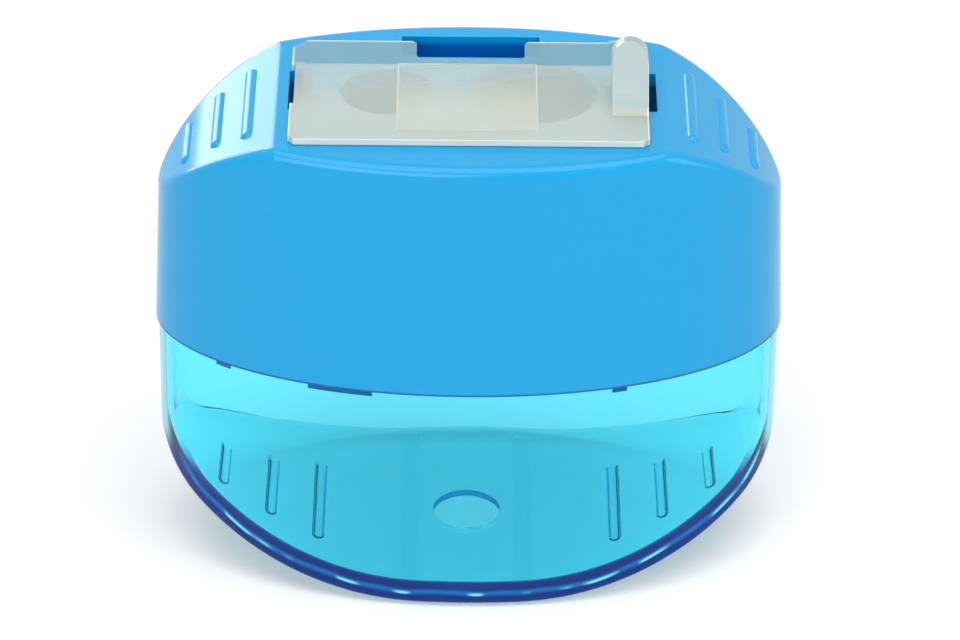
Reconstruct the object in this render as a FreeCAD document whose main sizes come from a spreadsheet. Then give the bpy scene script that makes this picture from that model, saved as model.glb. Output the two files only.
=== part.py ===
import FreeCAD, Part
import Sketcher
import math
import os
import re

# Hand-held two-hole container pencil sharpener for left-handed use.
# Millimetres, +Z up, origin on the table under the middle of the body, front towards -Y.

vec = FreeCAD.Vector
doc = FreeCAD.newDocument("container_sharpener")
sheet = doc.addObject("Spreadsheet::Sheet", "Sizes")

sizes = [
    # outer body: an oval plan cut by a rounded outline seen from the front
    ("body_width", 61.0),
    ("body_depth", 31.1),
    ("body_height", 48.7),
    ("parting_height", 24.6),
    ("side_draft", 2.3),
    ("face_draft", 3.1),
    ("wall", 1.3),
    # upper outline: flat top, soft crease, long shoulder arc
    ("top_flat_width", 36.0),
    ("crease_radius", 2.0),
    ("shoulder_radius", 22.2),
    ("shoulder_run", 19.3),
    ("rolled_edge", 1.1),
    # lower outline: flat base, long bilge arc, corner arc
    ("foot_height", 0.25),
    ("base_flat_width", 10.0),
    ("base_radius", 36.0),
    ("base_corner", 9.7),
    ("base_wall", 1.9),
    ("base_edge", 0.5),
    # joint between shell and container
    ("shell_overhang", 0.3),
    ("parting_gap", 0.1),
    ("rebate", 0.5),
    ("spigot_height", 3.0),
    ("spigot_wall", 0.95),
    ("spigot_root", 0.6),
    ("joint_clearance", 0.15),
    ("tongue_wall", 0.95),
    ("tongue_drop", 1.5),
    ("tongue_root", 2.6),
    ("tongue_root_gap", 0.6),
    ("narrow_tongue", 1.4),
    ("broad_tongue", 6.1),
    ("outer_tongue_x", 24.0),
    ("broad_tongue_x", 15.2),
    ("inner_tongue_x", 13.7),
    # grip ribs on the shoulders and on the bilge
    ("rib_radius", 0.75),
    ("rib_height", 0.35),
    ("shoulder_rib_first", 20.9),
    ("shoulder_rib_pitch", 2.95),
    ("shoulder_rib_length", 13.3),
    ("shoulder_rib_step", 2.9),
    ("base_rib_first", 14.7),
    ("base_rib_pitch", 4.75),
    ("base_rib_length", 13.9),
    ("base_rib_step", 3.2),
    # feet and gate dimple under the container
    ("foot_width", 1.7),
    ("foot_spacing", 11.2),
    ("dimple_radius", 3.3),
    ("dimple_depth", 0.7),
    # pencil bores and the light-metal block
    ("standard_bore", 8.2),
    ("jumbo_bore", 11.2),
    ("standard_x", -7.9),
    ("jumbo_x", 6.1),
    ("mouth_margin", 0.4),
    ("standard_angle", 10.3),
    ("jumbo_angle", 13.5),
    ("standard_lead", 4.6),
    ("jumbo_lead", 5.4),
    ("tip_bore", 1.5),
    ("block_length", 26.0),
    ("block_left", 12.8),
    ("block_right", 14.5),
    ("block_front", 6.9),
    ("block_rear", 6.7),
    ("block_head", 2.5),
    ("facet_split", 0.4),
    ("bite", 0.2),
    ("cheek_wall", 1.0),
    ("cheek_length", 12.0),
    ("block_clearance", 0.05),
    ("block_rib_x", 9.6),
    # blades and screws
    ("blade_width", 8.2),
    ("blade_length", 21.0),
    ("blade_thickness", 0.6),
    ("blade_bevel", 0.5),
    ("blade_margin", 1.2),
    ("screw_offset", 4.5),
    ("screw_drop", 10.5),
    ("screw_radius", 0.9),
    ("screw_tip_radius", 0.55),
    ("screw_length", 4.0),
    ("screw_head_radius", 1.9),
    ("screw_head_height", 0.9),
    ("screw_head_rim", 0.55),
    ("screw_head_flat", 1.35),
    ("screw_slot", 0.5),
    ("screw_clearance", 0.1),
    # flap lid
    ("lid_left", 17.1),
    ("lid_width", 33.9),
    ("lid_front", 9.7),
    ("lid_depth", 19.45),
    ("lid_thickness", 0.55),
    ("lid_gap", 0.1),
    ("lid_corner", 0.6),
    ("lid_side_notch", 0.35),
    ("flange_depth", 4.95),
    ("flange_step", 0.2),
    ("flange_mitre", 1.4),
    ("finger_notch_width", 10.4),
    ("notch_corner", 0.6),
    ("finger_notch_depth", 3.35),
    ("panel_width", 13.2),
    ("panel_depth", 12.6),
    ("panel_height", 0.12),
    ("panel_shift", -0.3),
    ("relief_width", 23.8),
    ("relief_depth", 13.0),
    ("relief_cut", 0.15),
    ("tab_width", 3.45),
    ("tab_length", 6.15),
    ("tab_height", 5.15),
    ("tab_rear", 1.4),
    ("tab_crown", 0.9),
    ("hinge_tongue_inset", 0.45),
    ("hinge_tongue_wall", 0.7),
    ("latch_tongue_inset", 0.1),
    ("latch_tongue_wall", 0.6),
    ("tongue_length", 1.5),
    ("tongue_width", 6.5),
    # slots and finger recess in the flat top
    ("slot_length", 7.3),
    ("slot_shift", 0.8),
    ("slot_edge", 0.2),
    ("latch_slot_width", 1.75),
    ("recess_width", 13.3),
    ("recess_front", 7.4),
    ("recess_rear", 11.5),
    ("recess_depth", 2.6),
    ("recess_wall", 0.9),
]

for row, (alias, value) in enumerate(sizes, start=1):
    sheet.set(f"A{row}", alias)
    sheet.set(f"B{row}", str(value))
    sheet.setAlias(f"B{row}", alias)
doc.recompute()

aliasWord = re.compile(r"\b(" + "|".join(alias for alias, value in sizes) + r")\b")


def formula(text):
    return aliasWord.sub(r"Sizes.\1", str(text))


def size(alias):
    return float(sheet.get(alias))


def bind(thing, **expressions):
    for name, text in expressions.items():
        thing.setExpression(name.replace("__", "."), formula(text))


def place(thing, x="0", y="0", z="0"):
    bind(thing, Placement__Base__x=x, Placement__Base__y=y, Placement__Base__z=z)


# Part operations, each a named object of the document


def fuse(name, shapes):
    joined = doc.addObject("Part::MultiFuse", name)
    joined.Shapes = shapes
    return joined


def common(name, shapes):
    shared = doc.addObject("Part::MultiCommon", name)
    shared.Shapes = shapes
    return shared


def cut(name, base, tool):
    left = doc.addObject("Part::Cut", name)
    left.Base = base
    left.Tool = tool
    return left


def box(name, low, span):
    block = doc.addObject("Part::Box", name)
    place(block, *low)
    bind(block, Length=span[0], Width=span[1], Height=span[2])
    return block


def cylinder(name, low, radius, height):
    rod = doc.addObject("Part::Cylinder", name)
    place(rod, *low)
    bind(rod, Radius=radius, Height=height)
    return rod


def oval(name, low, high):
    # a solid between two level ellipses, each given as (half width, half depth, height)
    rings = []
    for end, (halfWidth, halfDepth, height) in (("low", low), ("high", high)):
        ring = doc.addObject("Part::Ellipse", f"{name}_{end}")
        bind(ring, MajorRadius=halfWidth, MinorRadius=halfDepth)
        place(ring, z=height)
        rings.append(ring)
    body = doc.addObject("Part::Loft", name)
    body.Sections = rings
    body.Solid = True
    body.Ruled = True
    return body


def prism(name, outline):
    # an outline of the front view, run right through the body from front to rear
    run = doc.addObject("Part::Extrusion", name)
    run.Base = outline
    run.DirMode = "Custom"
    run.Dir = vec(0, 1, 0)
    run.Symmetric = True
    run.Solid = True
    bind(run, LengthFwd="2 * body_depth")
    return run


def inset(name, outline, distance):
    smaller = doc.addObject("Part::Offset2D", name)
    smaller.Source = outline
    smaller.Mode = "Pipe"
    smaller.Join = "Intersection"
    bind(smaller, Value=f"-({distance})")
    return smaller


def capsule(name, x, z, length):
    # a half-round grip rib along the depth, with ball ends
    reach = f"({length}) / 2 - rib_radius"
    rod = doc.addObject("Part::Cylinder", f"{name}_rod")
    rod.Placement.Rotation = FreeCAD.Rotation(vec(1, 0, 0), -90)
    place(rod, x, f"-({reach})", z)
    bind(rod, Radius="rib_radius", Height=f"2 * ({reach})")
    pieces = [rod]
    for end, side in (("front", "-"), ("rear", "")):
        ball = doc.addObject("Part::Sphere", f"{name}_{end}")
        bind(ball, Radius="rib_radius")
        place(ball, x, f"{side}({reach})", z)
        pieces.append(ball)
    return pieces


# Sketch helpers


def join(sketch, pairs, kind="Coincident"):
    for first, firstEnd, second, secondEnd in pairs:
        sketch.addConstraint(Sketcher.Constraint(kind, first, firstEnd, second, secondEnd))


def limit(sketch, name, kind, *where, to):
    value = sketch.evalExpression(formula(to))
    index = sketch.addConstraint(Sketcher.Constraint(kind, *where, float(value)))
    sketch.renameConstraint(index, name)
    sketch.setExpression(f"Constraints.{name}", formula(to))


def line(sketch, start, end):
    return sketch.addGeometry(Part.LineSegment(vec(*start, 0), vec(*end, 0)))


def arc(sketch, centre, radius, start, end):
    # counter-clockwise from the angle of the start point to that of the end point
    angles = [math.atan2(p[1] - centre[1], p[0] - centre[0]) for p in (start, end)]
    circle = Part.Circle(vec(*centre, 0), vec(0, 0, 1), radius)
    return sketch.addGeometry(Part.ArcOfCircle(circle, *angles))


def frontSketch(name):
    sketch = doc.addObject("Sketcher::SketchObject", name)
    sketch.Placement = FreeCAD.Placement(vec(0, 0, 0), FreeCAD.Rotation(vec(1, 0, 0), 90))
    return sketch


def centred(sketch, level):
    # the sketch's own upright axis has the number -2
    sketch.addConstraint(Sketcher.Constraint("Symmetric", level, START, level, END, -2))


def mirrored(point):
    return (-point[0], point[1])


START, END, CENTRE = range(1, 4)
skirt = "(4 * wall)"
shoulderCentre = "(body_width / 2 - shoulder_run)"
sideMargin = "wall"


def upperOutline():
    sketch = frontSketch("upper_outline")
    top = size("body_height")
    flat = size("top_flat_width") / 2
    crease = size("crease_radius")
    radius = size("shoulder_radius")
    centreX = size("body_width") / 2 - size("shoulder_run")
    side = size("body_width") / 2 + size("wall")
    foot = size("parting_height") - 4 * size("wall")
    creaseCentre = (flat, top - crease)
    centre = (centreX, top - crease - math.sqrt((radius - crease) ** 2 - (flat - centreX) ** 2))
    ratio = radius / (radius - crease)
    blend = tuple(c + (k - c) * ratio for c, k in zip(centre, creaseCentre))
    shoulder = (side, centre[1] + math.sqrt(radius ** 2 - (side - centreX) ** 2))

    roof = line(sketch, (-flat, top), (flat, top))
    creaseR = arc(sketch, creaseCentre, crease, blend, (flat, top))
    shoulderR = arc(sketch, centre, radius, shoulder, blend)
    sideR = line(sketch, shoulder, (side, foot))
    floor = line(sketch, (side, foot), (-side, foot))
    sideL = line(sketch, (-side, foot), mirrored(shoulder))
    shoulderL = arc(sketch, mirrored(centre), radius, mirrored(blend), mirrored(shoulder))
    creaseL = arc(sketch, mirrored(creaseCentre), crease, (-flat, top), mirrored(blend))

    join(sketch, [(roof, END, creaseR, END), (creaseR, START, shoulderR, END),
                  (roof, START, creaseL, START), (creaseL, END, shoulderL, START)], "Tangent")
    join(sketch, [(shoulderR, START, sideR, START), (sideR, END, floor, START),
                  (floor, END, sideL, START), (sideL, END, shoulderL, END)])
    for level in (roof, floor):
        centred(sketch, level)
    for upright in (sideR, sideL):
        sketch.addConstraint(Sketcher.Constraint("Vertical", upright))
    limit(sketch, "top", "DistanceY", roof, END, to="body_height")
    limit(sketch, "flat", "DistanceX", roof, END, to="top_flat_width / 2")
    limit(sketch, "foot", "DistanceY", floor, START, to=f"parting_height - {skirt}")
    limit(sketch, "side", "DistanceX", floor, START, to=f"body_width / 2 + {sideMargin}")
    for label, creaseArc, shoulderArc, sign in (("right", creaseR, shoulderR, ""),
                                                ("left", creaseL, shoulderL, "-")):
        limit(sketch, f"crease_{label}", "Radius", creaseArc, to="crease_radius")
        limit(sketch, f"shoulder_{label}", "Radius", shoulderArc, to="shoulder_radius")
        limit(sketch, f"centre_{label}", "DistanceX", shoulderArc, CENTRE, to=f"{sign}{shoulderCentre}")
    return sketch


def lowerOutline():
    sketch = frontSketch("lower_outline")
    low = size("foot_height")
    flat = size("base_flat_width") / 2
    radius = size("base_radius")
    corner = size("base_corner")
    side = size("body_width") / 2
    top = size("parting_height") + 4 * size("wall")
    centre = (flat, low + radius)
    cornerX = side - corner
    cornerCentre = (cornerX, centre[1] - math.sqrt((radius - corner) ** 2 - (cornerX - flat) ** 2))
    ratio = radius / (radius - corner)
    blend = tuple(c + (k - c) * ratio for c, k in zip(centre, cornerCentre))
    tangent = (side, cornerCentre[1])

    base = line(sketch, (-flat, low), (flat, low))
    bilgeR = arc(sketch, centre, radius, (flat, low), blend)
    cornerR = arc(sketch, cornerCentre, corner, blend, tangent)
    sideR = line(sketch, tangent, (side, top))
    roof = line(sketch, (side, top), (-side, top))
    sideL = line(sketch, (-side, top), mirrored(tangent))
    cornerL = arc(sketch, mirrored(cornerCentre), corner, mirrored(tangent), mirrored(blend))
    bilgeL = arc(sketch, mirrored(centre), radius, mirrored(blend), (-flat, low))

    join(sketch, [(base, END, bilgeR, START), (bilgeR, END, cornerR, START), (cornerR, END, sideR, START),
                  (base, START, bilgeL, END), (bilgeL, START, cornerL, END), (cornerL, START, sideL, END)],
         "Tangent")
    join(sketch, [(sideR, END, roof, START), (roof, END, sideL, START)])
    for level in (base, roof):
        centred(sketch, level)
    for upright in (sideR, sideL):
        sketch.addConstraint(Sketcher.Constraint("Vertical", upright))
    limit(sketch, "low", "DistanceY", base, END, to="foot_height")
    limit(sketch, "flat", "DistanceX", base, END, to="base_flat_width / 2")
    limit(sketch, "top", "DistanceY", roof, START, to=f"parting_height + {skirt}")
    limit(sketch, "side", "DistanceX", roof, START, to="body_width / 2")
    for label, bilge, bend in (("right", bilgeR, cornerR), ("left", bilgeL, cornerL)):
        limit(sketch, f"bilge_{label}", "Radius", bilge, to="base_radius")
        limit(sketch, f"corner_{label}", "Radius", bend, to="base_corner")
    return sketch


def rolledEdges(name, solid, radius, lowest, highest):
    # rounds every curved edge of a solid that runs between two heights
    doc.recompute()
    rolled = doc.addObject("Part::Fillet", name)
    rolled.Base = solid
    picked = []
    for index, edge in enumerate(solid.Shape.Edges, start=1):
        middle = edge.valueAt((edge.FirstParameter + edge.LastParameter) / 2)
        straight = edge.Curve.TypeId == "Part::GeomLine"
        heading = edge.tangentAt(edge.FirstParameter)
        upright = straight and abs(heading.z) > 0.5
        across = straight and abs(heading.y) > 0.9
        if lowest < middle.z < highest and not upright and not across:
            picked.append((index, radius, radius))
    rolled.Edges = picked
    return rolled


# Heights and half sizes that several pieces share
top = "body_height"
ceiling = "(body_height - wall)"
parting = "parting_height"
halfWidth = "(body_width / 2)"
halfDepth = "(body_depth / 2)"


def shellRing(depth, height):
    # half sizes of the drafted shell, some way in from its outside, at a height
    rise = f"({height} - parting_height)"
    return (f"{halfWidth} - ({depth}) - {rise} * tan(side_draft * 1 deg)",
            f"{halfDepth} - ({depth}) - {rise} * tan(face_draft * 1 deg)", height)


def straightRing(depth, height):
    return (f"{halfWidth} - ({depth})", f"{halfDepth} - ({depth})", height)


def shoulderHeight(x, lift):
    centreZ = ("(body_height - crease_radius - sqrt((shoulder_radius - crease_radius)^2"
               f" - (top_flat_width / 2 - {shoulderCentre})^2))")
    return f"{centreZ} + sqrt((shoulder_radius + {lift})^2 - ({x} - {shoulderCentre})^2)"


def bilgeHeight(x, lift):
    return f"foot_height + base_radius - sqrt((base_radius + {lift})^2 - ({x} - base_flat_width / 2)^2)"


def gripRibs(name, first, pitch, length, step, height):
    pieces = []
    for number in range(3):
        x = f"({first} + {number} * {pitch})"
        z = height(x, "rib_height - rib_radius")
        for side, sign in (("right", ""), ("left", "-")):
            pieces += capsule(f"{name}_{side}_{number}", f"{sign}{x}", z, f"{length} - {number} * {step}")
    return pieces


rebateDepth = "(wall - rebate)"
spigotOut = f"({rebateDepth} + joint_clearance)"
spigotIn = f"({spigotOut} + spigot_wall)"
tongueOut = f"({spigotIn} + joint_clearance)"
tongueIn = f"({tongueOut} + tongue_wall)"
tongueRootLow = f"({parting} + spigot_height + tongue_root_gap)"
tongueRootHigh = f"({tongueRootLow} + tongue_root)"
blockTop = ceiling


def snapTongues(reach):
    # short tongues that hang from the shell inside the container's spigot, three in front and three behind
    low = f"({parting} - tongue_drop)"
    middle = f"({tongueRootLow} + tongue_root / 2)"
    outside = fuse("tongue_ring_out", [
        oval("tongue_hanging_oval", straightRing(tongueOut, low), straightRing(tongueOut, middle)),
        oval("tongue_root_oval", straightRing(reach, tongueRootLow), straightRing(reach, tongueRootHigh))])
    inside = oval("tongue_ring_in", straightRing(tongueIn, f"({low} - wall)"),
                  straightRing(tongueIn, f"({tongueRootHigh} + wall)"))
    ring = cut("tongue_rings", outside, inside)
    windows = []
    # each tongue's left edge and width along the front, the rear being the same turned half round
    for spot, left, width in (("outer", "-outer_tongue_x", "narrow_tongue"),
                              ("broad", "-broad_tongue_x", "broad_tongue"),
                              ("inner", "inner_tongue_x", "narrow_tongue")):
        span = (width, "body_depth", f"{tongueRootHigh} - {low}")
        windows.append(box(f"{spot}_tongue_front", (left, "-body_depth", low), span))
        windows.append(box(f"{spot}_tongue_rear", (f"-({left}) - {width}", "0", low), span))
    return common("snap_tongues", [ring, fuse("tongue_windows", windows)])


def blockHolder(reach):
    # cheeks on both sides of the block and two ribs behind it, all hanging from the flat top
    cheekSpan = ("cheek_wall", "block_front + block_rear", "cheek_length + wall / 2")
    cheekLow = f"{ceiling} - cheek_length"
    cheekLeft = "-block_left - block_clearance - cheek_wall"
    left = box("cheek_left", (cheekLeft, "-block_front", cheekLow), cheekSpan)
    right = box("cheek_right", ("block_right + block_clearance", "-block_front", cheekLow), cheekSpan)
    pieces = [left, right]
    for side, sign in (("left", "-"), ("right", "")):
        pieces.append(box(f"block_rib_{side}",
                          (f"{sign}block_rib_x - cheek_wall / 2", "block_rear + block_clearance",
                           f"{tongueRootHigh}"),
                          ("cheek_wall", "body_depth / 2", f"{ceiling} + wall / 2 - {tongueRootHigh}")))
    pieces.append(box("recess_box",
                      ("-recess_width / 2 - recess_wall", "block_rear + block_clearance",
                       f"{top} - recess_depth - recess_wall"),
                      ("recess_width + 2 * recess_wall",
                       "recess_rear + recess_wall - block_rear - block_clearance",
                       "recess_depth + recess_wall - wall / 2")))
    inside = common("holder_room", [
        prism("holder_prism", inset("holder_outline", upper, "wall / 2")),
        oval("holder_oval", shellRing(reach, parting), shellRing(reach, top))])
    return common("block_holder", [inside, fuse("holder_pieces", pieces)])


def topShell():
    outside = common("shell_outside", [prism("shell_prism", upper),
                                       oval("shell_oval", shellRing("0", parting), shellRing("0", top))])
    rolled = rolledEdges("shell_rolled", outside, size("rolled_edge"),
                         size("parting_height") + size("wall"), size("body_height") + 1)
    below = f"({parting} - wall)"
    hollow = common("shell_inside", [
        prism("shell_inside_prism", inset("shell_inside_outline", upper, "wall")),
        oval("shell_inside_oval", shellRing("wall", below), shellRing("wall", top))])
    rebateHigh = f"({parting} + spigot_height + joint_clearance)"
    rim = oval("shell_rebate", straightRing(rebateDepth, below), straightRing(rebateDepth, rebateHigh))
    casing = cut("shell_casing", rolled, fuse("shell_voids", [hollow, rim]))
    half = "(wall / 2)"
    ribs = gripRibs("shoulder_rib", "shoulder_rib_first", "shoulder_rib_pitch", "shoulder_rib_length",
                    "shoulder_rib_step", shoulderHeight)
    solid = fuse("shell_solid", [casing, snapTongues(half), blockHolder(half)])
    ribbed = fuse("shell_ribbed", [solid, cut("shoulder_ribs", fuse("shoulder_rib_bars", ribs), hollow)])
    # holes through the flat top
    through = "2 * wall"
    low = f"{top} - wall * 1.5"
    holes = [
        cylinder("standard_mouth", ("standard_x", "0", low), "standard_bore / 2 + mouth_margin", through),
        cylinder("jumbo_mouth", ("jumbo_x", "0", low), "jumbo_bore / 2 + mouth_margin", through),
        box("hinge_slot", ("-lid_left - slot_edge", "slot_shift - slot_length / 2", low),
            (hingeSlotWidth, "slot_length", through)),
        box("latch_slot", (f"{latchTongueLeft} - joint_clearance", "slot_shift - slot_length / 2", low),
            ("latch_slot_width", "slot_length", through)),
        box("finger_recess", ("-recess_width / 2", "recess_front", f"{top} - recess_depth"),
            ("recess_width", "recess_rear - recess_front", "2 * recess_depth")),
    ]
    return cut("top_shell", ribbed, fuse("shell_holes", holes))


# the hinge tongue swings about the lid's lower left edge, so the slot is as wide as that swing
tongueSwing = "sqrt((hinge_tongue_inset + hinge_tongue_wall)^2 + tongue_length^2)"
hingeSlotWidth = f"slot_edge + {tongueSwing} + joint_clearance"
latchTongueLeft = "(lid_width - lid_left - latch_tongue_inset - latch_tongue_wall)"


def containerRing(depth, height):
    # half sizes of the container, which stands a little inside the shell
    return straightRing(f"shell_overhang + {depth}", height)


def shavingsContainer():
    rim = f"({parting} - parting_gap)"
    outside = common("container_outside", [prism("container_prism", lower),
                                           oval("container_oval", containerRing("0", "0"),
                                                containerRing("0", rim))])
    rolled = rolledEdges("container_rolled", outside, size("base_edge"), -1,
                         size("parting_height") - size("wall"))
    inside = common("container_inside", [
        prism("container_inside_prism", inset("container_inside_outline", lower, "base_wall")),
        oval("container_inside_oval", containerRing("wall", "0"),
             containerRing("wall", f"({parting} + wall)"))])
    spigotLow = f"({rim} - spigot_root)"
    spigotHigh = f"({parting} + spigot_height)"
    spigotOval = oval("spigot_out", straightRing(spigotOut, spigotLow), straightRing(spigotOut, spigotHigh))
    spigotHole = oval("spigot_in", straightRing(spigotIn, spigotLow), straightRing(spigotIn, spigotHigh))
    spigot = cut("spigot", spigotOval, spigotHole)
    feet = []
    for side, sign in (("left", "-"), ("right", "")):
        left = f"{sign}foot_spacing / 2 - foot_width / 2"
        feet.append(box(f"foot_bar_{side}", (left, "-body_depth", "0"),
                        ("foot_width", "2 * body_depth", "foot_height + base_wall / 2")))
    footBars = common("feet", [fuse("foot_bars", feet),
                               oval("foot_oval", containerRing("wall", "0"), containerRing("wall", rim))])
    ribs = gripRibs("bilge_rib", "base_rib_first", "base_rib_pitch", "base_rib_length",
                    "base_rib_step", bilgeHeight)
    tray = cut("tray", fuse("tray_ribbed", [rolled, footBars] + ribs), inside)
    dimple = cylinder("gate_dimple", ("0", "0", "foot_height - dimple_depth"), "dimple_radius",
                      "2 * dimple_depth")
    return cut("shavings_container", fuse("tray_with_spigot", [tray, spigot]), dimple)


# PartDesign pieces: the block, the blades, the screws and the lid


def newBody(name):
    return doc.addObject("PartDesign::Body", name)


def bodySketch(body, name, plane, **shift):
    sketch = body.newObject("Sketcher::SketchObject", name)
    origin = next(f for f in body.Origin.OriginFeatures if f.Role == plane)
    sketch.AttachmentSupport = [(origin, "")]
    sketch.MapMode = "FlatFace"
    for axis, text in shift.items():
        bind(sketch, **{f"AttachmentOffset__Base__{axis}": text})
    return sketch


def polygon(sketch, name, corners):
    # a closed outline whose corners are all held by the sheet; corners are pairs of formulas
    points = [tuple(float(sketch.evalExpression(formula(c))) for c in corner) for corner in corners]
    count = len(points)
    edges = [line(sketch, points[i], points[(i + 1) % count]) for i in range(count)]
    join(sketch, [(edges[i], END, edges[(i + 1) % count], START) for i in range(count)])
    for i, corner in enumerate(corners):
        for kind, text in zip(("DistanceX", "DistanceY"), corner):
            limit(sketch, f"{name}_{kind[-1].lower()}{i}", kind, edges[i], START, to=text)
    return edges


def rectangle(sketch, name, x0, y0, x1, y1):
    return polygon(sketch, name, [(x0, y0), (x1, y0), (x1, y1), (x0, y1)])


def pad(body, name, sketch, length, reverse=False):
    feature = body.newObject("PartDesign::Pad", name)
    feature.Profile = sketch
    feature.Reversed = reverse
    bind(feature, Length=length)
    return feature


def pocket(body, name, sketch, length, reverse=False):
    # the solid must lose volume, or the cut went the wrong way
    doc.recompute()
    before = body.Shape.Volume
    feature = body.newObject("PartDesign::Pocket", name)
    feature.Profile = sketch
    feature.Reversed = reverse
    bind(feature, Length=length)
    doc.recompute()
    if not body.Shape.Volume < before - 1e-6:
        raise RuntimeError(f"{name} cut nothing")
    return feature


def pencilBore(body, kind):
    # lead-in cylinder, cone and tip hole, turned about the pencil's axis
    sketch = bodySketch(body, f"{kind}_bore_section", "XZ_Plane", x=f"{kind}_x")
    radius = f"{kind}_bore / 2"
    coneEnd = f"-({kind}_lead + ({radius} - tip_bore / 2) / tan({kind}_angle * 1 deg))"
    polygon(sketch, "bore", [("0", "wall"), (radius, "wall"), (radius, f"-{kind}_lead"),
                             ("tip_bore / 2", coneEnd), ("tip_bore / 2", "-block_length - wall"),
                             ("0", "-block_length - wall")])
    doc.recompute()
    before = body.Shape.Volume
    bore = body.newObject("PartDesign::Groove", f"{kind}_bore_cone")
    bore.Profile = sketch
    bore.ReferenceAxis = (sketch, ["V_Axis"])
    bore.Angle = 360
    doc.recompute()
    if not body.Shape.Volume < before - 1e-6:
        raise RuntimeError(f"{kind} bore cut nothing")


def facetFront(kind, depth):
    # distance of the blade's seat from the bore's axis, at a depth below the block's top
    return f"({kind}_bore / 2 - bite - ({depth} - {kind}_lead) * tan({kind}_angle * 1 deg))"


bladeTop = "(block_head + blade_margin)"
screwDepth = f"{bladeTop} + screw_drop * cos({{kind}}_angle * 1 deg)"


def sharpenerBlock():
    body = newBody("block_body")
    place(body, z=blockTop)
    plan = bodySketch(body, "block_plan", "XY_Plane")
    rectangle(plan, "plan", "-block_left", "-block_front", "block_right", "block_rear")
    pad(body, "block_pad", plan, "block_length", reverse=True)
    for kind, start, width in (("standard", "-block_left", "block_left + facet_split"),
                               ("jumbo", "facet_split", "block_right - facet_split")):
        # sloping blade seat below the block's head
        seat = bodySketch(body, f"{kind}_seat", "YZ_Plane", z=start)
        polygon(seat, "seat", [("-block_front - wall", "-block_head"),
                               (f"-{facetFront(kind, 'block_head')}", "-block_head"),
                               (f"-{facetFront(kind, '(block_length + wall)')}", "-block_length - wall"),
                               ("-block_front - wall", "-block_length - wall")])
        pocket(body, f"{kind}_seat_cut", seat, width, reverse=True)
        pencilBore(body, kind)
    pilots = []
    for kind in ("standard", "jumbo"):
        hole = doc.addObject("Part::Cylinder", f"{kind}_pilot")
        seatOn(hole, kind, "screw_offset", screwDepth, flip=True)
        bind(hole, Radius="screw_radius + screw_clearance", Height="screw_length + screw_clearance")
        pilots.append(hole)
    return cut("sharpener_block", body, fuse("pilots", pilots))


def seatOn(thing, kind, across, depth, flip=False):
    # sets a piece on a blade seat: its own +Y climbs the seat and its +Z points out of it
    depth = f"({depth.format(kind=kind)})"
    turn = f"{kind}_angle - 90" if flip else f"90 + {kind}_angle"
    thing.Placement.Rotation = FreeCAD.Rotation(vec(1, 0, 0), 1)
    bind(thing, Placement__Rotation__Angle=f"({turn}) * 1 deg")
    place(thing, f"{kind}_x + {across}", f"-{facetFront(kind, depth)}", f"{blockTop} - {depth}")


def blade(kind):
    body = newBody(f"{kind}_blade")
    outline = bodySketch(body, f"{kind}_blade_outline", "XY_Plane")
    rectangle(outline, "blade", "0", "-blade_length", "blade_width", "0")
    holeCentre = vec(size("screw_offset"), -size("screw_drop"), 0)
    holeRadius = size("screw_radius") + size("screw_clearance")
    hole = outline.addGeometry(Part.Circle(holeCentre, vec(0, 0, 1), holeRadius))
    limit(outline, "hole_x", "DistanceX", hole, CENTRE, to="screw_offset")
    limit(outline, "hole_y", "DistanceY", hole, CENTRE, to="-screw_drop")
    limit(outline, "hole_radius", "Radius", hole, to="screw_radius + screw_clearance")
    pad(body, f"{kind}_blade_pad", outline, "blade_thickness")
    # ground bevel behind the cutting edge
    bevel = bodySketch(body, f"{kind}_bevel", "XZ_Plane")
    edge = "blade_thickness - blade_bevel"
    above = "blade_thickness + wall"
    polygon(bevel, "bevel", [("-wall", above), ("-wall", edge), ("0", edge),
                             ("2 * blade_bevel", "blade_thickness"), ("2 * blade_bevel", above)])
    pocket(body, f"{kind}_bevel_cut", bevel, "blade_length", reverse=True)
    seatOn(body, kind, "0", bladeTop)
    return body


def bladeScrew(kind):
    body = newBody(f"{kind}_blade_screw")
    section = bodySketch(body, f"{kind}_screw_section", "XZ_Plane")
    polygon(section, "screw", [("0", "-screw_length"), ("screw_tip_radius", "-screw_length"),
                               ("screw_radius", "-screw_length + screw_radius"),
                               ("screw_radius", "blade_thickness"),
                               ("screw_head_radius", "blade_thickness"),
                               ("screw_head_radius", "blade_thickness + screw_head_rim"),
                               ("screw_head_flat", "blade_thickness + screw_head_height"),
                               ("0", "blade_thickness + screw_head_height")])
    turned = body.newObject("PartDesign::Revolution", f"{kind}_screw_turned")
    turned.Profile = section
    turned.ReferenceAxis = (section, ["V_Axis"])
    turned.Angle = 360
    slot = bodySketch(body, f"{kind}_screw_slot", "XY_Plane", z="blade_thickness + screw_head_height")
    rectangle(slot, "slot", "-2 * screw_head_radius", "-screw_slot / 2",
              "2 * screw_head_radius", "screw_slot / 2")
    pocket(body, f"{kind}_slot_cut", slot, "screw_slot")
    seatOn(body, kind, "screw_offset", screwDepth)
    return body


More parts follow.
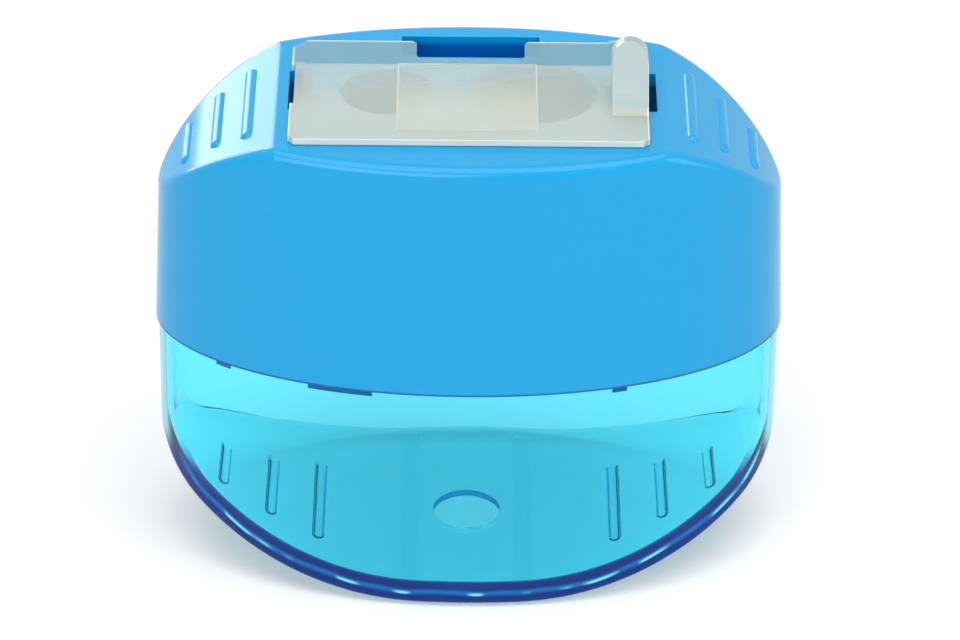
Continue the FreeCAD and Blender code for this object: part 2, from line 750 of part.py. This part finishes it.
def flapLid():
    # the lid's own origin is on its hinge line, the lower left edge, level with the middle of the body
    body = newBody("flap_lid")
    place(body, "-lid_left", "0", f"{top} + lid_gap")
    front = "-lid_front"
    rear = "(lid_depth - lid_front)"
    notchLeft = "(lid_left - finger_notch_width / 2)"
    notchRight = "(lid_left + finger_notch_width / 2)"
    slotFront = "(slot_shift - slot_length / 2)"
    slotRear = "(slot_shift + slot_length / 2)"
    plan = bodySketch(body, "lid_plan", "XY_Plane")
    polygon(plan, "plan", [
        ("lid_corner", front), ("lid_width - lid_corner", front), ("lid_width", f"{front} + lid_corner"),
        ("lid_width", rear), (notchRight, rear), (notchRight, f"{rear} - finger_notch_depth"),
        (notchLeft, f"{rear} - finger_notch_depth"), (notchLeft, rear),
        ("flange_mitre", rear), ("0", f"{rear} - flange_mitre"),
        ("0", slotRear), ("lid_side_notch", slotRear), ("lid_side_notch", slotFront), ("0", slotFront),
        ("0", f"{front} + lid_corner")])
    pad(body, "lid_plate", plan, "lid_thickness")
    softCorners(body, "lid_notch_corners", [(notchLeft, rear), (notchRight, rear),
                                            (notchLeft, f"{rear} - finger_notch_depth"),
                                            (notchRight, f"{rear} - finger_notch_depth")], "notch_corner")
    # thinner flange along the rear, with mitred ends
    step = bodySketch(body, "lid_step", "XY_Plane", z="lid_thickness")
    stepFront = f"{rear} - flange_depth"
    stepRight = "lid_width - tab_width"
    polygon(step, "step", [("-wall", f"{rear} + wall"), ("flange_mitre", stepFront),
                           (stepRight, stepFront), (stepRight, f"{rear} + wall")])
    pocket(body, "lid_step_cut", step, "flange_step")
    # plain raised panel in the middle
    panel = bodySketch(body, "lid_panel", "XY_Plane", z="lid_thickness")
    panelLeft = "(lid_left + panel_shift - panel_width / 2)"
    rectangle(panel, "panel", panelLeft, f"{stepFront} - panel_depth",
              f"{panelLeft} + panel_width", stepFront)
    pad(body, "lid_panel_pad", panel, "panel_height")
    # shallow relief under the lid round the pencil holes
    relief = bodySketch(body, "lid_relief", "XY_Plane")
    reliefLeft = "(lid_left + panel_shift - relief_width / 2)"
    rectangle(relief, "relief", reliefLeft, f"{stepFront} - relief_depth",
              f"{reliefLeft} + relief_width", stepFront)
    pocket(body, "lid_relief_cut", relief, "relief_cut", reverse=True)
    # tongues into the two slots of the shell
    tongueFront = "(slot_shift - tongue_width / 2)"
    tongueRear = "(slot_shift + tongue_width / 2)"
    tongues = bodySketch(body, "lid_tongues", "XY_Plane")
    rectangle(tongues, "hinge", "hinge_tongue_inset", tongueFront,
              "hinge_tongue_inset + hinge_tongue_wall", tongueRear)
    latchRight = "(lid_width - latch_tongue_inset)"
    rectangle(tongues, "latch", f"{latchRight} - latch_tongue_wall", tongueFront, latchRight, tongueRear)
    pad(body, "lid_tongue_pad", tongues, "tongue_length", reverse=True)
    # finger tab on the free end: an arched fin, cut to a ramp that climbs towards the rear
    tab = bodySketch(body, "lid_tab", "XZ_Plane", z="-tab_rear")
    archShape(tab)
    pad(body, "lid_tab_pad", tab, "tab_length")
    ramp = bodySketch(body, "lid_tab_ramp", "YZ_Plane", z="lid_width - tab_width - wall")
    tabFront = "(tab_rear - tab_length)"
    tabTop = "(lid_thickness + tab_height)"
    polygon(ramp, "ramp", [(tabFront, "lid_thickness"), ("tab_rear - tab_crown", tabTop),
                           ("tab_rear - tab_crown", f"{tabTop} + wall"),
                           (f"{tabFront} - wall", f"{tabTop} + wall"),
                           (f"{tabFront} - wall", "lid_thickness")])
    pocket(body, "lid_tab_cut", ramp, "tab_width + 2 * wall", reverse=True)
    return body


def softCorners(body, name, corners, radius):
    # rounds the upright edges of a plate that stand at the given places
    doc.recompute()
    spots = [tuple(float(sheet.evalExpression(formula(c))) for c in corner) for corner in corners]
    plate = body.Tip
    picked = []
    for index, edge in enumerate(plate.Shape.Edges, start=1):
        ends = [vertex.Point for vertex in edge.Vertexes]
        upright = len(ends) == 2 and abs(ends[0].x - ends[1].x) + abs(ends[0].y - ends[1].y) < 1e-6
        if upright and any(math.dist((ends[0].x, ends[0].y), spot) < 1e-3 for spot in spots):
            picked.append(f"Edge{index}")
    rounded = body.newObject("PartDesign::Fillet", name)
    rounded.Base = (plate, picked)
    bind(rounded, Radius=radius)
    return rounded


def archShape(sketch):
    # upright arch with a round top, flush with the lid's free end
    right = size("lid_width")
    half = size("tab_width") / 2
    middle = right - half
    low = size("lid_thickness") / 2
    spring = size("lid_thickness") + size("tab_height") - half
    foot = line(sketch, (right - 2 * half, low), (right, low))
    outer = line(sketch, (right, low), (right, spring))
    crown = arc(sketch, (middle, spring), half, (right, spring), (right - 2 * half, spring))
    inner = line(sketch, (right - 2 * half, spring), (right - 2 * half, low))
    join(sketch, [(foot, END, outer, START), (inner, END, foot, START)])
    join(sketch, [(outer, END, crown, START), (crown, END, inner, START)], "Tangent")
    sketch.addConstraint(Sketcher.Constraint("Horizontal", foot))
    sketch.addConstraint(Sketcher.Constraint("Vertical", outer))
    limit(sketch, "right", "DistanceX", foot, END, to="lid_width")
    limit(sketch, "low", "DistanceY", foot, END, to="lid_thickness / 2")
    limit(sketch, "left", "DistanceX", foot, START, to="lid_width - tab_width")
    limit(sketch, "spring", "DistanceY", crown, CENTRE, to="lid_thickness + tab_height - tab_width / 2")


upper = upperOutline()
lower = lowerOutline()
pieces = {
    "top_shell": topShell(),
    "shavings_container": shavingsContainer(),
    "sharpener_block": sharpenerBlock(),
    "flap_lid": flapLid(),
}
for bore in ("standard", "jumbo"):
    pieces[f"{bore}_blade"] = blade(bore)
    pieces[f"{bore}_blade_screw"] = bladeScrew(bore)
doc.recompute()

failed = [t for t in doc.Objects if "Invalid" in t.State or "Error" in t.State]
if failed:
    raise RuntimeError("; ".join(f"{t.Name}: {t.getStatusString()}" for t in failed))
os.makedirs("parts", exist_ok=True)
for node, piece in pieces.items():
    piece.Label = node
    shape = piece.Shape
    if shape.isNull() or not shape.isValid() or not shape.Solids:
        raise RuntimeError(f"{node} has no valid solid")
for node, piece in pieces.items():
    piece.Shape.exportStep(f"parts/{node}.step")
    print(node, len(piece.Shape.Solids), "solid", round(piece.Shape.Volume, 1), "mm3")
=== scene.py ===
import math

import bpy
from mathutils import Matrix, Vector

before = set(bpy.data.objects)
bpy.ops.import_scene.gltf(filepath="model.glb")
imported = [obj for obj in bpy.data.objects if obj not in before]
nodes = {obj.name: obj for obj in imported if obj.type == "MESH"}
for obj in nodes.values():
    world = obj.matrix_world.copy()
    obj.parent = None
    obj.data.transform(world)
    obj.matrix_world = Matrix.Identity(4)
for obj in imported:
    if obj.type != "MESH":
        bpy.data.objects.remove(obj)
scene = bpy.context.scene
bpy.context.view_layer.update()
print("frame loaded with", len(nodes), "solid pieces")


def tint(red, green, blue):
    # screen colour, 0 to 255, to the linear colour that shaders use, by the usual screen curve
    toeEnd, toeSlope, offset, power = 0.04045, 12.92, 0.055, 2.4
    shares = (channel / 255 for channel in (red, green, blue))
    return tuple(s / toeSlope if s <= toeEnd else ((s + offset) / (1 + offset)) ** power for s in shares)


def solid(colour):
    return (*colour, 1.0)


class Wire:
    # a shader socket that takes part in plain sums; other nodes come from node()
    def __init__(self, tree, socket=None):
        self.tree = tree
        self.socket = socket

    def node(self, kind, settings=None, sockets=None, out=0):
        made = self.tree.nodes.new(kind)
        for name, value in (settings or {}).items():
            if name == "stops":
                ramp = made.color_ramp
                while len(ramp.elements) < len(value):
                    ramp.elements.new(1.0)
                for element, (position, colour) in zip(ramp.elements, value):
                    element.position = position
                    element.color = colour
            else:
                setattr(made, name, value)
        for name, value in (sockets or {}).items():
            if isinstance(value, Wire):
                self.tree.links.new(value.socket, made.inputs[name])
            else:
                made.inputs[name].default_value = value
        return Wire(self.tree, made.outputs[out] if made.outputs else None)

    def math(self, operation, first, second=0.0):
        return self.node("ShaderNodeMath", {"operation": operation}, {0: first, 1: second})

    def __add__(self, other):
        return self.math("ADD", self, other)

    def __radd__(self, other):
        return self.math("ADD", other, self)

    def __sub__(self, other):
        return self.math("SUBTRACT", self, other)

    def __rsub__(self, other):
        return self.math("SUBTRACT", other, self)

    def __mul__(self, other):
        return self.math("MULTIPLY", self, other)

    def __rmul__(self, other):
        return self.math("MULTIPLY", other, self)

    def __truediv__(self, other):
        return self.math("DIVIDE", self, other)

    def __rtruediv__(self, other):
        return self.math("DIVIDE", other, self)

    def __pow__(self, other):
        return self.math("POWER", self, other)

    def __rpow__(self, other):
        return self.math("POWER", other, self)


def startMaterial(name):
    material = bpy.data.materials.new(name)
    material.use_nodes = True
    material.node_tree.nodes.clear()
    return material, Wire(material.node_tree)


def place(root):
    # the piece's own place in metres, which is the same from every side
    return root.node("ShaderNodeTexCoord", out="Object")


def noise(root, where, scale=1.0, detail=2.0, roughness=0.5):
    return root.node("ShaderNodeTexNoise", None, {"Vector": where, "Scale": scale, "Detail": detail,
                                                 "Roughness": roughness}, out="Fac")


def stretched(root, where, along):
    return root.node("ShaderNodeVectorMath", {"operation": "MULTIPLY"}, {0: where, 1: along})


def blendColours(root, factor, first, second):
    ends = [end if isinstance(end, Wire) else solid(end) for end in (first, second)]
    return root.node("ShaderNodeMix", {"data_type": "RGBA"},
                     {"Factor": factor, "A": ends[0], "B": ends[1]}, out="Result")


def blendShaders(root, factor, first, second):
    return root.node("ShaderNodeMixShader", None, {0: factor, 1: first, 2: second})


def bump(root, height, distance, strength):
    return root.node("ShaderNodeBump", None, {"Height": height, "Distance": distance, "Strength": strength})


def close(root, **wires):
    root.node("ShaderNodeOutputMaterial", None, wires)


def between(root, value, low, high):
    # 0 below low, 1 above high, smooth between them
    return root.node("ShaderNodeMapRange", {"interpolation_type": "SMOOTHSTEP"},
                     {"Value": value, "From Min": low, "From Max": high})


def axes(root, where):
    parts = root.node("ShaderNodeSeparateXYZ", None, {0: where}).socket.node.outputs
    return [Wire(root.tree, parts[name]) for name in "XYZ"]


def reach(root, x, y, box):
    # how far outside a rectangle (left, right, front, rear) a place is, below 0 inside it
    left, right, front, rear = box
    overX = root.math("ABSOLUTE", x - (left + right) / 2) - (right - left) / 2
    overY = root.math("ABSOLUTE", y - (front + rear) / 2) - (rear - front) / 2
    return root.math("MAXIMUM", overX, overY)


def outline(root, x, y, box, width):
    # 1 on the border of a rectangle, 0 away from it
    return 1 - between(root, root.math("ABSOLUTE", reach(root, x, y, box)), 0.0, width)


def facingOut(root):
    # 1 where a surface is met from outside the plastic, 0 from within
    return 1 - root.node("ShaderNodeNewGeometry", out="Backfacing")


def dress(name, material):
    mesh = nodes[name].data
    mesh.materials.clear()
    mesh.materials.append(material)


# upper shell: glossy blue moulded plastic, with boxes and heights in metres
shellLook = dict(deep=tint(0, 146, 204), pale=tint(2, 158, 212),
                 driftScale=22.0, driftDetail=3.0, driftShare=0.7, mottleScale=900.0,
                 roughLow=0.10, roughSpan=0.10, ior=1.5, gloss=0.32,
                 waveScale=160.0, waveHeight=0.00002, waveStrength=0.5,
                 partingHeight=0.0246, seamFrom=0.00012, seamTo=0.00028, seamShade=tint(0, 92, 160),
                 recessBox=(-0.00665, 0.00665, 0.0074, 0.0115), recessTop=0.0484,
                 recessSoft=0.0002, recessFall=0.0008, recessShade=tint(0, 98, 176))


def bluePlastic(look):
    material, root = startMaterial("bluePlastic")
    where = place(root)
    drift = noise(root, where, look["driftScale"], look["driftDetail"])
    mottle = noise(root, where, look["mottleScale"])
    mixed = drift * look["driftShare"] + mottle * (1 - look["driftShare"])
    body = blendColours(root, mixed, look["deep"], look["pale"])
    x, y, z = axes(root, where)
    # painted shade down in the finger recess, and a painted shade line along the seam to the container
    inRecess = 1 - between(root, reach(root, x, y, look["recessBox"]), 0.0, look["recessSoft"])
    sunk = 1 - between(root, z, look["recessTop"] - look["recessFall"], look["recessTop"])
    shaded = blendColours(root, inRecess * sunk, body, look["recessShade"])
    seamShadeMask = 1 - between(root, z - look["partingHeight"], look["seamFrom"], look["seamTo"])
    wave = noise(root, where, look["waveScale"])
    surface = root.node("ShaderNodeBsdfPrincipled", None, {
        "Base Color": blendColours(root, seamShadeMask, shaded, look["seamShade"]),
        "Roughness": look["roughLow"] + look["roughSpan"] * mottle,
        "IOR": look["ior"],
        "Specular IOR Level": look["gloss"],
        "Normal": bump(root, wave, look["waveHeight"], look["waveStrength"])})
    close(root, Surface=surface)
    return material


# shavings container: clear aqua plastic, deeper where the light runs a long way through it
containerLook = dict(
    surfaceTint=(0.93, 0.985, 1.0), paleTint=(0.97, 1.0, 1.0), glintTint=(0.3, 0.85, 1.0),
    depthTint=(0.0, 0.842, 0.93), density=690.0, ior=1.36, letThrough=1.0,
    roughLow=0.0, roughSpan=0.03, mottleScale=300.0,
    flowScale=45.0, flowHeight=0.00003, flowStrength=0.4,
    # side walls, seen along the plastic, get a painted pale light that stands in for the light carried
    # through them edgewise
    sideTint=tint(136, 226, 240), sideDeep=tint(108, 214, 234), sideRoughLow=0.2, sideRoughSpan=0.1,
    sideGloss=0.3, facingBlend=0.5, sideFrom=0.60, sideTo=0.75, sideShare=0.94,
    # outer wall, and the front outline of its base, in metres
    halfWidth=0.0302, halfDepth=0.01525, wallFrom=0.965, wallTo=0.985,
    flatHalf=0.005, foot=0.00025, bilgeRadius=0.036,
    cornerX=0.0208, cornerZ=0.01522, cornerRadius=0.0097, cornerFrom=0.0250, cornerTo=0.0264,
    # the floor's thick edge, in layers from its foot at 0 to its top at 1, where a navy painted shade and a
    # broken painted highlight line stand in for the dark refracted rim
    thick=0.0028, layerFrom=0.94, layerTo=1.03, fadeFrom=0.010, fadeTo=0.0135, edgeShare=0.94,
    navy=tint(2, 44, 122), blue=tint(2, 112, 184), glint=tint(120, 232, 248),
    layers=((0.0, "blue"), (0.10, "navy"), (0.34, "navy"), (0.50, "blue"), (0.64, "navy"), (1.0, "navy")),
    streak=(110.0, 60.0, 0.0), streakMiddle=0.5, waver=0.35,
    breaks=(210.0, 120.0, 0.0), breakDetail=1.0, breakFrom=0.50, breakTo=0.60,
    glintRise=(0.38, 0.44), glintFall=(0.46, 0.56),
    edgeRoughLow=0.06, edgeRoughSpan=0.06, edgeGloss=0.22)


def containerZones(root, where, look):
    # the outer wall, the floor's thick edge on it, and the layer of that edge
    x, y, z = axes(root, where)
    x = root.math("ABSOLUTE", x)
    run = root.math("MAXIMUM", x - look["flatHalf"], 0.0)
    fall = z - (look["foot"] + look["bilgeRadius"])
    bilge = look["bilgeRadius"] - (run * run + fall * fall) ** 0.5
    across, up = x - look["cornerX"], z - look["cornerZ"]
    corner = look["cornerRadius"] - (across * across + up * up) ** 0.5
    atCorner = between(root, x, look["cornerFrom"], look["cornerTo"])
    layer = (bilge * (1 - atCorner) + corner * atCorner) / look["thick"]
    oval = (x / look["halfWidth"]) ** 2.0 + (y / look["halfDepth"]) ** 2.0
    wall = between(root, oval, look["wallFrom"], look["wallTo"]) * facingOut(root)
    low = 1 - between(root, z, look["fadeFrom"], look["fadeTo"])
    inEdge = 1 - between(root, layer, look["layerFrom"], look["layerTo"])
    return wall, wall * low * inEdge, layer


def clearPlastic(look):
    material, root = startMaterial("clearPlastic")
    where = place(root)
    flow = noise(root, where, look["flowScale"])
    ripple = bump(root, flow, look["flowHeight"], look["flowStrength"])
    clear = root.node("ShaderNodeBsdfPrincipled", None, {
        "Base Color": blendColours(root, flow, look["surfaceTint"], look["paleTint"]),
        "Roughness": look["roughLow"] + look["roughSpan"] * noise(root, where, look["mottleScale"]),
        "IOR": look["ior"],
        "Specular Tint": solid(look["glintTint"]),
        "Transmission Weight": look["letThrough"],
        "Normal": ripple})
    wall, paintedRimZone, layer = containerZones(root, where, look)
    # painted layers of shade and highlight along the edge: a blue foot, navy, a broken bright painted
    # highlight line, navy again
    streak = noise(root, stretched(root, where, look["streak"]))
    band = layer + (streak - look["streakMiddle"]) * look["waver"]
    stops = [(position, solid(look[colour])) for position, colour in look["layers"]]
    layers = root.node("ShaderNodeValToRGB", {"stops": stops}, {"Fac": band})
    breaks = noise(root, stretched(root, where, look["breaks"]), detail=look["breakDetail"])
    broken = between(root, breaks, look["breakFrom"], look["breakTo"])
    line = between(root, band, *look["glintRise"]) * (1 - between(root, band, *look["glintFall"]))
    edge = root.node("ShaderNodeBsdfPrincipled", None, {
        "Base Color": blendColours(root, broken * line, layers, look["glint"]),
        "Roughness": look["edgeRoughLow"] + look["edgeRoughSpan"] * streak,
        "Specular IOR Level": look["edgeGloss"],
        "Normal": ripple})
    # painted light: a pale opaque layer on the side walls where they are seen edge-on
    side = root.node("ShaderNodeBsdfPrincipled", None, {
        "Base Color": blendColours(root, flow, look["sideDeep"], look["sideTint"]),
        "Roughness": look["sideRoughLow"] + look["sideRoughSpan"] * flow,
        "Specular IOR Level": look["sideGloss"]})
    facing = root.node("ShaderNodeLayerWeight", None, {"Blend": look["facingBlend"]}, out="Facing")
    turned = between(root, facing, look["sideFrom"], look["sideTo"])
    walls = blendShaders(root, wall * turned * look["sideShare"], clear, side)
    surface = blendShaders(root, paintedRimZone * look["edgeShare"], walls, edge)
    inside = root.node("ShaderNodeVolumeAbsorption", None, {"Color": solid(look["depthTint"]),
                                                           "Density": look["density"]})
    close(root, Surface=surface, Volume=inside)
    return material


# flap lid: natural milky plastic, denser towards the front, on the panel and in the finger tab
lidLook = dict(
    light=(0.87, 0.98, 0.93), shade=(0.80, 0.92, 0.87), flange=(0.37, 0.72, 0.81),
    edge=(0.79, 0.77, 0.69), tab=tint(155, 173, 174), warm=(0.58, 0.59, 0.48),
    roughLow=0.18, roughSpan=0.10, ior=1.49, letThrough=0.76,
    cloudScale=120.0, cloudDetail=4.0, cloudGrit=0.6,
    grainScale=700.0, grainDetail=3.0, grainHeight=0.00002, grainStrength=0.4,
    # boxes and heights in metres
    lidBox=(-0.0171, 0.0168, -0.0097, 0.00975), rimWidth=0.0003, rimShare=0.8,
    panelBox=(-0.0069, 0.0063, -0.0078, 0.0048), panelLine=0.00016, lineShare=0.4,
    panelSoft=0.0001, panelShare=0.45, flangeFade=0.0006, tabFoot=0.0497, tabFade=0.0003, tabShare=0.8,
    warmFront=-0.005, warmRear=0.004, warmShare=0.3, brightFade=0.1,
    # middle and radius of each bore's mouth, as seen through the closed lid, for the painted shade over the
    # bores
    mouths=((-0.0079, 0.0045), (0.0061, 0.0060)), mouthShift=-0.0004, mouthFrom=-0.0004, mouthTo=0.0002,
    flatFrom=0.8, flatTo=0.95)


def boreShadeMask(root, x, y, look):
    # 1 over the bores while the lid lies flat, a painted shade: the haze is taken out there, so the milk
    # shows darker over bores that send no light back up
    mouths = [root.math("SQRT", (x - middle) ** 2 + (y - look["mouthShift"]) ** 2) - radius
              for middle, radius in look["mouths"]]
    over = 1 - between(root, root.math("MINIMUM", *mouths), look["mouthFrom"], look["mouthTo"])
    upward = axes(root, root.node("ShaderNodeNewGeometry", out="Normal"))[2]
    return over * between(root, upward, look["flatFrom"], look["flatTo"])


def milkyPlastic(look):
    material, root = startMaterial("milkyPlastic")
    where = place(root)
    x, y, z = axes(root, where)
    cloud = noise(root, where, look["cloudScale"], look["cloudDetail"], look["cloudGrit"])
    rough = look["roughLow"] + look["roughSpan"] * cloud
    grain = noise(root, where, look["grainScale"], look["grainDetail"])
    soft = bump(root, grain, look["grainHeight"], look["grainStrength"])
    body = blendColours(root, cloud, look["shade"], look["light"])
    # painted shade: the rear flange is coloured darker and bluer, in place of the blue shell that shows
    # through it in shade
    panelRear = look["panelBox"][3]
    onFlange = between(root, y, panelRear, panelRear + look["flangeFade"])
    milk = root.node("ShaderNodeBsdfPrincipled", None, {
        "Base Color": blendColours(root, onFlange, body, look["flange"]),
        "Roughness": rough,
        "IOR": look["ior"],
        "Transmission Weight": look["letThrough"],
        "Normal": soft})
    # where the milk is dense, and a painted highlight along the rim and the panel border
    onTab = between(root, z, look["tabFoot"], look["tabFoot"] + look["tabFade"])
    onPanel = 1 - between(root, reach(root, x, y, look["panelBox"]), -look["panelSoft"], 0.0)
    front = 1 - between(root, y, look["warmFront"], look["warmRear"])
    plain = look["warmShare"] * (1 - boreShadeMask(root, x, y, look))
    haze = facingOut(root) * front * (plain + (look["panelShare"] - plain) * onPanel)
    thick = root.math("MAXIMUM", onTab * look["tabShare"], haze)
    rim = outline(root, x, y, look["lidBox"], look["rimWidth"])
    line = outline(root, x, y, look["panelBox"], look["panelLine"])
    paintedHighlight = root.math("MAXIMUM", rim * look["rimShare"], line * look["lineShare"])
    dense = blendColours(root, onTab, look["warm"], look["tab"])
    onEdge = between(root, paintedHighlight - thick, -look["brightFade"], 0.0)
    cloudy = root.node("ShaderNodeBsdfPrincipled", None, {
        "Base Color": blendColours(root, onEdge, dense, look["edge"]),
        "Roughness": rough,
        "Normal": soft})
    close(root, Surface=blendShaders(root, root.math("MAXIMUM", thick, paintedHighlight), milk, cloudy))
    return material


def strokedMetal(look, name, strokes):
    # bare metal with fine tool marks, drawn out along the piece
    material, root = startMaterial(name)
    marks = noise(root, stretched(root, place(root), strokes), detail=look["detail"], roughness=look["grit"])
    surface = root.node("ShaderNodeBsdfPrincipled", None, {
        "Base Color": blendColours(root, marks, look["dark"], look["light"]),
        "Metallic": 1.0,
        "Roughness": look["roughLow"] + look["roughSpan"] * marks,
        "Normal": bump(root, marks, look["markHeight"], look["markStrength"])})
    close(root, Surface=surface)
    return material


# sharpener block: machined light metal
blockLook = dict(dark=(0.50, 0.51, 0.52), light=(0.72, 0.73, 0.74), roughLow=0.28, roughSpan=0.25,
                 strokes=(60.0, 900.0, 2400.0), detail=4.0, grit=0.6, markHeight=0.00003, markStrength=0.4)

# blades and screws: ground steel
steelLook = dict(dark=(0.42, 0.43, 0.45), light=(0.66, 0.67, 0.69), roughLow=0.16, roughSpan=0.2,
                 bladeStrokes=(3000.0, 400.0, 80.0), screwStrokes=(900.0, 900.0, 900.0),
                 detail=5.0, grit=0.65, markHeight=0.00001, markStrength=0.3)

bladeSteel = strokedMetal(steelLook, "bladeSteel", steelLook["bladeStrokes"])
screwSteel = strokedMetal(steelLook, "screwSteel", steelLook["screwStrokes"])
dress("top_shell", bluePlastic(shellLook))
dress("shavings_container", clearPlastic(containerLook))
dress("flap_lid", milkyPlastic(lidLook))
dress("sharpener_block", strokedMetal(blockLook, "machinedMetal", blockLook["strokes"]))
for size in ("standard", "jumbo"):
    dress(f"{size}_blade", bladeSteel)
    dress(f"{size}_blade_screw", screwSteel)
print("finishes on", len(nodes), "pieces")

# stage: white floor that keeps a soft shadow and shows as white through clear plastic
stageLook = dict(floorHalf=3.0, level=-0.00005, mottleScale=4.0, floorRough=1.0, floorGloss=0.0,
                 floorColour=(0.86, 0.86, 0.86), paleColour=(0.88, 0.88, 0.88),
                 white=(1.0, 1.0, 1.0), seenLight=1.0, worldLight=0.5,
                 lift=0.16, liftThrough=0.43, liftUnder=0.58,
                 underWidth=0.029, underDepth=0.0145, underFrom=0.7, underTo=1.2,
                 nearRadius=0.12, farRadius=0.45)


def lightPath(root, *kinds):
    # 1 for rays of the named kinds
    first = root.node("ShaderNodeLightPath", out=kinds[0])
    for kind in kinds[1:]:
        first = root.math("MAXIMUM", first, root.node("ShaderNodeLightPath", out=kind))
    return first


def anySight(root):
    return lightPath(root, "Is Camera Ray", "Is Glossy Ray", "Is Transmission Ray")


def whiteFloor(look):
    half, level = look["floorHalf"], look["level"]
    mesh = bpy.data.meshes.new("floor")
    corners = [(-half, -half, level), (half, -half, level), (half, half, level), (-half, half, level)]
    mesh.from_pydata(corners, [], [(0, 1, 2, 3)])
    floor = bpy.data.objects.new("floor", mesh)
    scene.collection.objects.link(floor)
    material, root = startMaterial("floorWhite")
    where = place(root)
    mottle = noise(root, where, look["mottleScale"])
    paper = root.node("ShaderNodeBsdfPrincipled", None, {
        "Base Color": blendColours(root, mottle, look["floorColour"], look["paleColour"]),
        "Roughness": look["floorRough"],
        "Specular IOR Level": look["floorGloss"]})

    def glow(strength):
        return root.node("ShaderNodeEmission", None, {"Color": solid(look["white"]), "Strength": strength})

    def lifted(strength):
        return root.node("ShaderNodeAddShader", None, {0: paper, 1: glow(strength)})

    # a painted pool of light: the floor glows brighter in an oval under the part for rays seen through the
    # clear plastic, in place of the light that the plastic lets down to it
    x, y = axes(root, where)[:2]
    oval = (x / look["underWidth"]) ** 2.0 + (y / look["underDepth"]) ** 2.0
    away = between(root, oval, look["underFrom"], look["underTo"])
    through = blendShaders(root, away, lifted(look["liftUnder"]), lifted(look["liftThrough"]))
    direct = lightPath(root, "Is Camera Ray", "Is Glossy Ray")
    seen = blendShaders(root, direct, paper, lifted(look["lift"]))
    near = blendShaders(root, lightPath(root, "Is Transmission Ray"), seen, through)
    # away from the part the floor runs out into the white background
    far = between(root, (x * x + y * y) ** 0.5, look["nearRadius"], look["farRadius"])
    close(root, Surface=blendShaders(root, far * anySight(root), near, glow(look["seenLight"])))
    mesh.materials.append(material)


def softWorld(look):
    world = bpy.data.worlds.new("studio")
    scene.world = world
    world.use_nodes = True
    world.node_tree.nodes.clear()
    root = Wire(world.node_tree)

    def sky(strength):
        return root.node("ShaderNodeBackground", None, {"Color": solid(look["white"]), "Strength": strength})

    mixed = blendShaders(root, anySight(root), sky(look["worldLight"]), sky(look["seenLight"]))
    root.node("ShaderNodeOutputWorld", None, {"Surface": mixed})


# softboxes, all turned to the middle of the part: place, size across and up, power
lampTarget = (0.0, 0.0, 0.025)
lampLook = dict(
    overheadBox=dict(where=(0.0, -0.10, 0.60), span=(0.60, 0.50), power=2.1),
    leftRearBox=dict(where=(-0.34, 0.50, 0.20), span=(0.40, 0.30), power=1.8),
    frontBox=dict(where=(-0.24, -0.58, 0.35), span=(0.50, 0.40), power=1.9),
    rightBox=dict(where=(0.55, -0.22, 0.30), span=(0.40, 0.40), power=1.1))


def softbox(name, where, span, power):
    lamp = bpy.data.lights.new(name, "AREA")
    lamp.shape = "RECTANGLE"
    lamp.size, lamp.size_y = span
    lamp.energy = power
    stand = bpy.data.objects.new(name, lamp)
    scene.collection.objects.link(stand)
    stand.location = where
    stand.rotation_euler = (Vector(lampTarget) - Vector(where)).to_track_quat("-Z", "Y").to_euler()
    return stand


whiteFloor(stageLook)
softWorld(stageLook)
lamps = {name: softbox(name, **values) for name, values in lampLook.items()}
# the rear box would show as a hard square in the clear floor, so it lights only the coloured pieces
litFromRear = bpy.data.collections.new("litFromRear")
for name in ("top_shell", "flap_lid", "sharpener_block"):
    litFromRear.objects.link(nodes[name])
lamps["leftRearBox"].light_linking.receiver_collection = litFromRear
scene.view_settings.view_transform = "Standard"
print("stage lit by", len(lamps), "softboxes")

# camera at the picture's own viewing angle, worked out for a 960 by 640 frame
cameraLook = dict(target=(0.0, 0.0, 0.025), elevation=32.0, azimuth=0.13, distance=0.49, roll=0.54,
                  lens=188.4, sensor=36.0, shift=(0.0120, -0.0136), clipStart=0.01)


def takeCamera(look):
    data = bpy.data.cameras.new("camera")
    data.sensor_width = look["sensor"]
    data.lens = look["lens"]
    data.shift_x, data.shift_y = look["shift"]
    data.clip_start = look["clipStart"]
    camera = bpy.data.objects.new("camera", data)
    scene.collection.objects.link(camera)
    rise, turn = math.radians(look["elevation"]), math.radians(look["azimuth"])
    aim = Vector((math.sin(turn) * math.cos(rise), math.cos(turn) * math.cos(rise), -math.sin(rise)))
    target = Vector(look["target"])
    facing = aim.to_track_quat("-Z", "Y").to_matrix().to_4x4()
    tilt = Matrix.Rotation(math.radians(look["roll"]), 4, "Z")
    camera.matrix_world = Matrix.Translation(target - aim * look["distance"]) @ facing @ tilt
    scene.camera = camera


takeCamera(cameraLook)
print("camera set")
